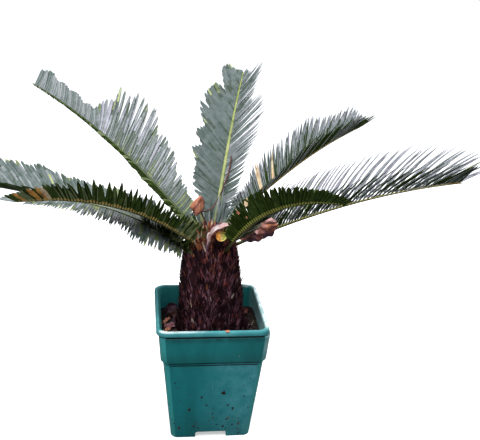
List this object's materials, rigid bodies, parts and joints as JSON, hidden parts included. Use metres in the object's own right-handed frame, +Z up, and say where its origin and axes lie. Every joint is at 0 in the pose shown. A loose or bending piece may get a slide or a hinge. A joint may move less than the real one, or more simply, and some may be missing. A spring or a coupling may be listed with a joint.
{
  "type": "potted sago palm",
  "caption": "Sago palm with a short shaggy trunk and a crown of stiff arching fronds, growing in a square tapered plastic pot.",
  "frame": {"origin": "middle of the whole plant's bounding box, on the ground under the pot's feet", "axes": "+Z up, -Y towards the pot's front face, +X along the crown's widest spread"},
  "size_m": [1.2654, 0.6998, 0.8158],
  "materials": {
    "pot_plastic": "smooth teal plastic, slightly glossy, with a lighter rolled lip",
    "soil": "dark rough potting soil",
    "trunk_fibre": "rough dark brown fibre and old leaf bases",
    "crown_scale": "felted orange-brown pointed scales",
    "frond": "leathery leaflets, silver-green above and dark green below",
    "cut_stalk": "dry cut stalk end",
    "dry_sheath": "dry papery skin",
    "dry_leaf": "dry crumpled leaf"
  },
  "bodies": {
    "root": {"pot": "pot_plastic", "soil": "soil", "trunk": "trunk_fibre", "crown_scales": "crown_scale", "frond_up_left": "frond", "frond_up_back": "frond", "frond_back_right": "frond", "frond_right": "frond", "frond_front_right": "frond", "frond_front_left": "frond", "frond_left_low": "frond", "frond_left_back": "frond", "frond_back_low": "frond", "cut_stalk": "cut_stalk", "dry_sheath": "dry_sheath", "dry_leaf_left": "dry_leaf", "dry_leaf_right": "dry_leaf"}
  },
  "joints": []
}
